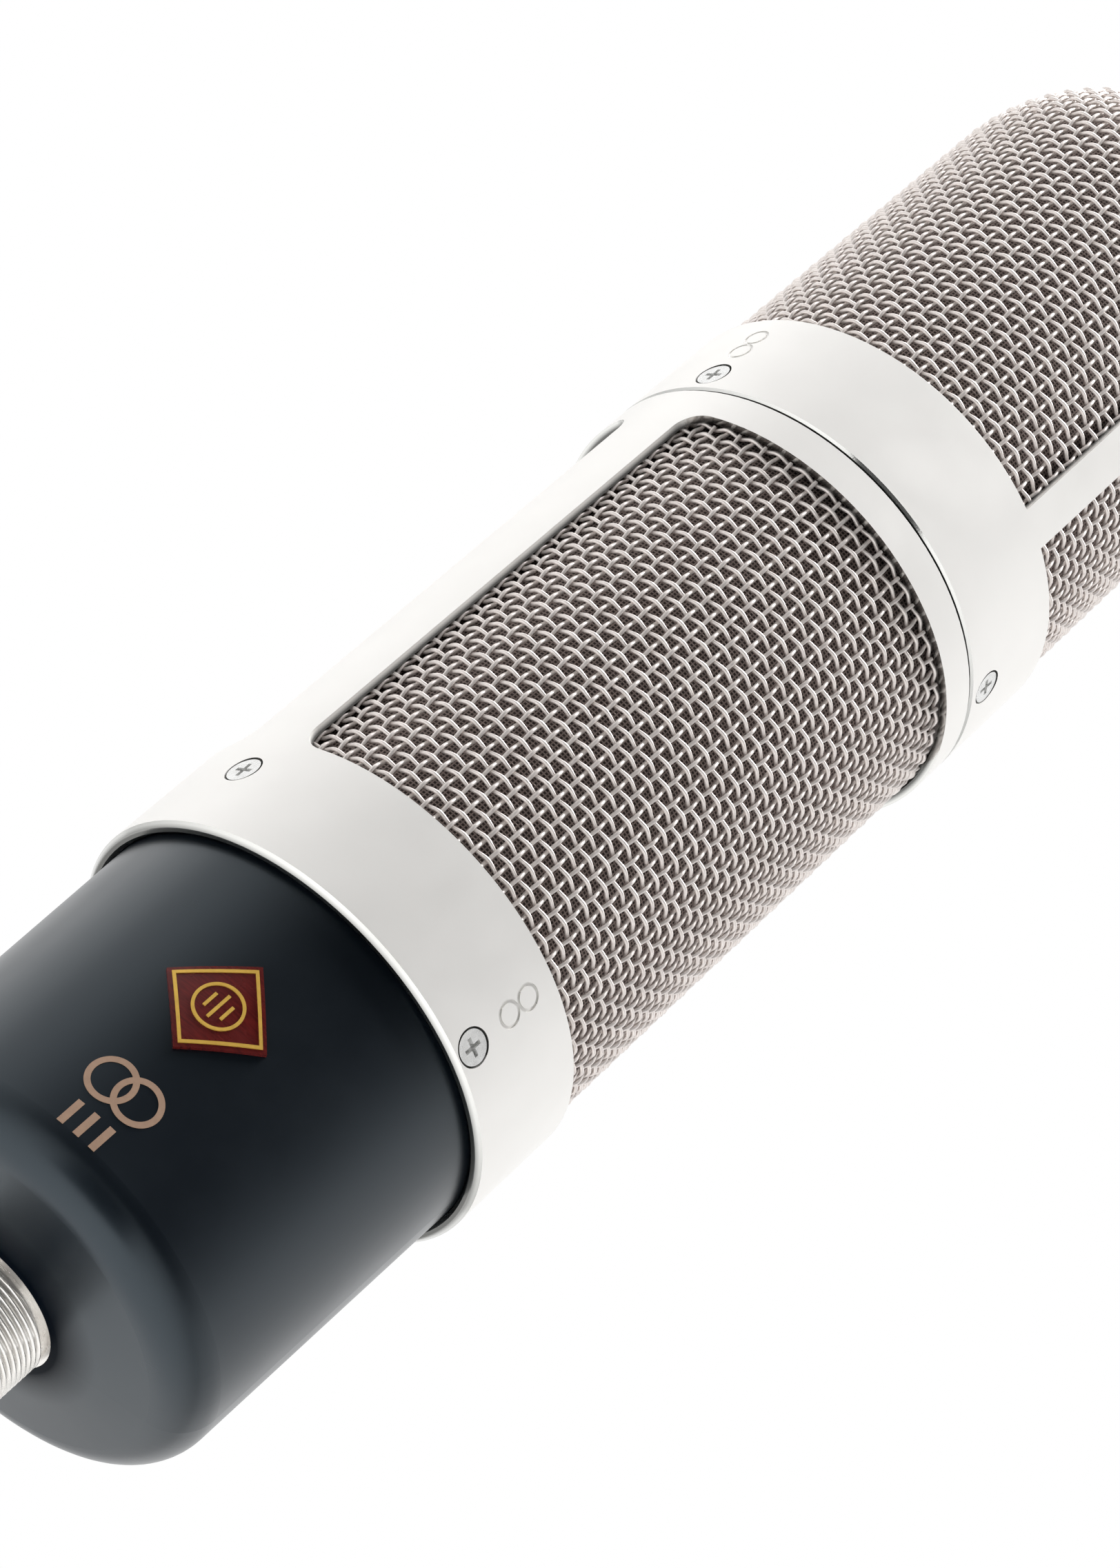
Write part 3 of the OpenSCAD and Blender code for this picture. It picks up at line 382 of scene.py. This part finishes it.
def new_piece(name, parts, material_slot, body, replaces):
    """Joins (vertices, faces) parts into one smooth piece that rides on a body."""
    starts = np.cumsum([0] + [len(v) for v, _ in parts])
    verts = np.concatenate([v for v, _ in parts])
    corners = np.concatenate([(f + start).reshape(-1) for (_, f), start in zip(parts, starts)])
    sizes = np.concatenate([np.full(len(f), f.shape[1]) for _, f in parts])
    loop_starts = np.concatenate([[0], np.cumsum(sizes)[:-1]])
    mesh = bpy.data.meshes.new(name)
    mesh.vertices.add(len(verts))
    mesh.vertices.foreach_set("co", verts.astype(np.float32).reshape(-1))
    mesh.loops.add(len(corners))
    mesh.loops.foreach_set("vertex_index", corners.astype(np.int32))
    mesh.polygons.add(len(sizes))
    mesh.polygons.foreach_set("loop_start", loop_starts.astype(np.int32))
    mesh.polygons.foreach_set("loop_total", sizes.astype(np.int32))
    mesh.polygons.foreach_set("use_smooth", np.ones(len(sizes), bool))
    mesh.update(calc_edges=True)
    mesh.validate()
    mesh.materials.append(MATERIALS[material_slot])
    piece = bpy.data.objects.new(name, mesh)
    bpy.context.scene.collection.objects.link(piece)
    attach(piece, body)
    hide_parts(*replaces)
    return piece


# ---------- woven mesh ----------

WIRE_R = 0.265 * MM
WIRE_SIDES = 6
UPRIGHT_CRIMP = 0.85 * WIRE_R
ROUND_CRIMP = 1.15 * WIRE_R
WIRE_COUNT = 92
ROW_PITCH = 1.87 * MM
STEPS = 4
DOME_FLAT = 2 * MM
LOWER_MID_R = 28.36 * MM
UPPER_MID_R = 28.56 * MM
THINNING = (0.52, 0.27, 0.06)


def wires(path, outward, closed):
    """Round wires along paths of shape (wires, points, 3), with the outward direction at each point."""
    if closed:
        tangent = np.roll(path, -1, axis=1) - np.roll(path, 1, axis=1)
    else:
        tangent = np.gradient(path, axis=1)
    tangent /= np.linalg.norm(tangent, axis=2, keepdims=True)
    side = np.cross(tangent, outward)
    side /= np.linalg.norm(side, axis=2, keepdims=True)
    lift = np.cross(side, tangent)
    turn = np.arange(WIRE_SIDES) * 2 * math.pi / WIRE_SIDES
    ring = np.cos(turn)[:, None] * side[:, :, None, :] + np.sin(turn)[:, None] * lift[:, :, None, :]
    points = path[:, :, None, :] + WIRE_R * ring
    parts = [grid_mesh(points, closed, True)]
    if not closed:
        parts += [end_caps(points[:, 0], True), end_caps(points[:, -1], False)]
    return parts


def end_caps(rings, flip):
    """One flat face for each ring of points, of shape (wires, sides, 3)."""
    count, sides, _ = rings.shape
    faces = np.arange(count * sides).reshape(count, sides)
    return rings.reshape(-1, 3), faces[:, ::-1] if flip else faces


class Sheath:
    """The middle surface of a woven sheath: a cylinder, and a dome above it where it has one."""

    def __init__(self, radius, z0, top_z):
        self.radius = radius
        self.z0 = z0
        self.straight = top_z - z0
        self.bend = radius - DOME_FLAT

    def at(self, s):
        """Radius, height and outward normal at a distance s up the sheath."""
        turn = np.clip((s - self.straight) / self.bend, 0, math.pi / 2)
        past = np.maximum(s - self.straight - self.bend * math.pi / 2, 0)
        r = np.where(s > self.straight, DOME_FLAT + self.bend * np.cos(turn) - past, self.radius)
        z = self.z0 + np.minimum(s, self.straight) + self.bend * np.sin(turn)
        return r, z, np.cos(turn), np.sin(turn)

    def place(self, s, angle, lift):
        """Points and normals at distance s and angle, raised off the surface by lift."""
        r, z, out, up = self.at(s)
        r, z = r + lift * out, z + lift * up
        point = np.stack([r * np.cos(angle), r * np.sin(angle), z], axis=-1)
        normal = np.stack([out * np.cos(angle), out * np.sin(angle), up + 0 * angle], axis=-1)
        return point, normal

    def row_where(self, radius):
        """The first row, from the top of the cylinder on, whose radius is not over the one given."""
        row = int(self.straight / ROW_PITCH)
        while self.at(np.array(row * ROW_PITCH))[0] > radius:
            row += 1
        return row


def upright_wires(sheath, count, row0, row1):
    """The wires that run up the sheath between two rows, each crossing over and under the rows in turn."""
    rows = np.linspace(row0, row1, (row1 - row0) * STEPS + 1)[None, :]
    number = np.arange(count)[:, None]
    lift = UPRIGHT_CRIMP * np.cos(math.pi * (rows + number))
    angle = number * 2 * math.pi / count + 0 * rows
    return wires(*sheath.place(rows * ROW_PITCH + 0 * number, angle, lift), closed=False)


def round_wires(sheath, count, row0, row1):
    """The wires that run round the sheath on each row from row0 up to row1."""
    rows = np.arange(row0, row1)[:, None]
    steps = count * STEPS
    turn = np.arange(steps)[None, :]
    lift = -ROUND_CRIMP * np.cos(math.pi * (turn / STEPS + rows))
    angle = turn * 2 * math.pi / steps + 0 * rows
    return wires(*sheath.place(rows * ROW_PITCH + 0 * turn, angle, lift), closed=True)


def weave(node, sheath, body, rows, round_rows):
    """The upright and the round wires that replace a CAD mesh node, as one piece each."""
    upright = upright_wires(sheath, WIRE_COUNT, 0, rows)
    new_piece(node + "_upright_wires", upright, "mesh_nickel", body, [node])
    across = round_wires(sheath, WIRE_COUNT, 0, round_rows)
    new_piece(node + "_round_wires", across, "mesh_nickel", body, [node])


def weave_lower():
    low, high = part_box("lower_mesh")
    rows = int((high.z - low.z - 2 * WIRE_R) / ROW_PITCH)
    weave("lower_mesh", Sheath(LOWER_MID_R, low.z + WIRE_R, high.z), "base", rows, rows + 1)


def weave_upper():
    """The wires thin out twice on the way up the dome, to even counts, so that they never crowd."""
    low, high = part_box("upper_mesh")
    dome_z = high.z - (UPPER_MID_R - DOME_FLAT) - 2 * WIRE_R
    sheath = Sheath(UPPER_MID_R, low.z + WIRE_R, dome_z)
    first, second, last = [sheath.row_where(share * UPPER_MID_R) for share in THINNING]
    weave("upper_mesh", sheath, "head", first, first)
    half, quarter = WIRE_COUNT // 2, WIRE_COUNT // 4 - 1
    crown = upright_wires(sheath, half, first, second) + round_wires(sheath, half, first, second)
    crown += upright_wires(sheath, quarter, second, last) + round_wires(sheath, quarter, second, last + 1)
    new_piece("upper_mesh_crown", crown, "mesh_nickel", "head", ["upper_mesh"])


weave_lower()
weave_upper()

# ---------- threaded stem ----------

THREAD_PITCH = 0.8 * MM
THREAD_DEPTH = 0.42 * MM
THREAD_ROUND = 96
THREAD_STEP = 0.1 * MM
START_EASE = 0.9 * MM
END_EASE = 0.2 * MM
ROOT_FLAT = 0.08
FLANK = 0.72
SHALLOW = 0.25
BORE_GAP = 0.05 * MM
NECK_OVER = 0.3 * MM
SHARP = math.radians(40)


def thread_radius(z, angle, crest, thread_len):
    """The thread's radius at heights and angles: a flat root, straight flanks, and eased ends."""
    phase = (z / THREAD_PITCH - angle / (2 * math.pi)) % 1
    tooth = np.clip((1 - np.abs(2 * phase - 1) - ROOT_FLAT) / FLANK, 0, 1)
    ease = np.clip(z / START_EASE, 0, 1) * np.clip((thread_len - z) / END_EASE, 0, 1)
    radius = crest - THREAD_DEPTH * (1 - tooth * (SHALLOW + (1 - SHALLOW) * ease))
    radius[0] = crest - THREAD_DEPTH
    return radius


def thread_stem():
    """The stem with its helical thread, bore, relief groove and inner flange."""
    mount = next(m for m in frame["record"]["mounts"] if m["name"] == "stand_thread")
    crest = mount["dims"]["r_mm"] * MM
    thread_len = mount["dims"]["length_mm"] * MM
    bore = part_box("xlr_insert")[1].x + BORE_GAP
    floor_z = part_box("stem_screws")[1].z
    flange_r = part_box("stem_housing")[1].x
    body_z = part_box("body_shell")[0].z
    flange_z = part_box("chassis_posts")[0].z
    neck_r = crest + NECK_OVER
    relief_r = (crest + bore) / 2

    angle = np.arange(THREAD_ROUND) * 2 * math.pi / THREAD_ROUND
    z = np.linspace(0, thread_len, int(thread_len / THREAD_STEP) + 1)[:, None] + 0 * angle
    profile = list(zip(z, thread_radius(z, angle, crest, thread_len)))
    for height, radius in ((thread_len, relief_r), (body_z, relief_r), (body_z, neck_r), (flange_z, neck_r),
                           (flange_z, flange_r), (floor_z, flange_r), (floor_z, bore), (0, bore)):
        profile.append((height + 0 * angle, radius + 0 * angle))
    rows = [np.stack([r * np.cos(angle), r * np.sin(angle), h], axis=-1) for h, r in profile]
    grid = np.stack(rows)[None]
    stem = [grid_mesh(grid, True, True)]
    mark_sharp(new_piece("threaded_stem", stem, "stem_nickel", "base", ["stem_housing"]))


def mark_sharp(piece):
    """Keeps steep edges crisp under smooth shading."""
    bpy.context.view_layer.objects.active = piece
    piece.select_set(True)
    bpy.ops.object.shade_smooth_by_angle(angle=SHARP)
    piece.select_set(False)


thread_stem()

# ---------- studio ----------

FLOOR_Z = -0.6
FLOOR_SIZE = 12
FLAG_SIZE = 0.5
FLAG_BACK = 0.12
ROOM_DARK = 0.05
STUDIO_BRIGHT = 0.98
DARK_SIDE = Vector((0.34, -0.93, 0.10)).normalized()
DARK_COS = 0.92
BRIGHT_COS = 0.15
CENTRE = Vector((0, 0, 0.12))
WHITE = (1.0, 1.0, 1.0)


def make_floor():
    bpy.ops.mesh.primitive_plane_add(size=FLOOR_SIZE, location=(0, 0, FLOOR_Z))
    floor = bpy.context.object
    floor.name = "floor"
    pale = plain("floor_pale", (0.90, 0.90, 0.895), 0, 0.5, 0.6, 3, vary=0.985, depth=0.0)
    floor.data.materials.append(pale)


def make_flag():
    """A black card behind the camera, seen only in reflections, which keeps the body's shoulder dark."""
    bpy.ops.mesh.primitive_plane_add(size=FLAG_SIZE, location=CAMERA_AT - look * FLAG_BACK)
    flag = bpy.context.object
    flag.name = "flag"
    flag.visible_camera = False
    flag.rotation_mode = "QUATERNION"
    flag.rotation_quaternion = look.to_track_quat("Z", "Y")
    flag.data.materials.append(plain("flag_black", (0.01, 0.01, 0.01), 0, 0.8, 0.9, 20, depth=0.0))


def make_world():
    """A studio that is white to the camera, and bright all round but for the side that the paint mirrors."""
    world = bpy.data.worlds.new("studio")
    bpy.context.scene.world = world
    world.use_nodes = True
    tree = world.node_tree
    tree.nodes.clear()
    out = tree.nodes.new("ShaderNodeOutputWorld")
    background = tree.nodes.new("ShaderNodeBackground")
    coords = tree.nodes.new("ShaderNodeTexCoord")
    dot = tree.nodes.new("ShaderNodeVectorMath")
    dot.operation = "DOT_PRODUCT"
    dot.inputs[1].default_value = DARK_SIDE
    ramp = tree.nodes.new("ShaderNodeMapRange")
    ramp.interpolation_type = "SMOOTHSTEP"
    for key, value in (("From Min", DARK_COS), ("From Max", BRIGHT_COS), ("To Min", ROOM_DARK),
                       ("To Max", STUDIO_BRIGHT)):
        ramp.inputs[key].default_value = value
    path = tree.nodes.new("ShaderNodeLightPath")
    shown = tree.nodes.new("ShaderNodeMath")
    shown.operation = "MAXIMUM"
    tree.links.new(coords.outputs["Generated"], dot.inputs[0])
    tree.links.new(dot.outputs["Value"], ramp.inputs["Value"])
    tree.links.new(ramp.outputs["Result"], shown.inputs[0])
    tree.links.new(path.outputs["Is Camera Ray"], shown.inputs[1])
    tree.links.new(shown.outputs[0], background.inputs["Strength"])
    background.inputs["Color"].default_value = (*WHITE, 1)
    tree.links.new(background.outputs[0], out.inputs[0])


def softbox(name, azimuth, elevation, distance, size, power):
    """A square soft light in a direction given in degrees, aimed at the microphone."""
    data = bpy.data.lights.new(name, "AREA")
    data.size = size
    data.energy = power
    data.color = WHITE
    lamp = bpy.data.objects.new(name, data)
    bpy.context.scene.collection.objects.link(lamp)
    turn, rise = math.radians(azimuth), math.radians(elevation)
    way = Vector((math.cos(rise) * math.cos(turn), math.cos(rise) * math.sin(turn), math.sin(rise)))
    lamp.location = CENTRE + way * distance
    lamp.rotation_mode = "QUATERNION"
    lamp.rotation_quaternion = (-way).to_track_quat("-Z", "Y")


make_world()
make_floor()
softbox("key", azimuth=172, elevation=34, distance=1.1, size=0.7, power=0.5)
softbox("top", azimuth=-60, elevation=84, distance=1.2, size=0.8, power=42)
make_flag()
bpy.context.scene.view_settings.view_transform = "Standard"
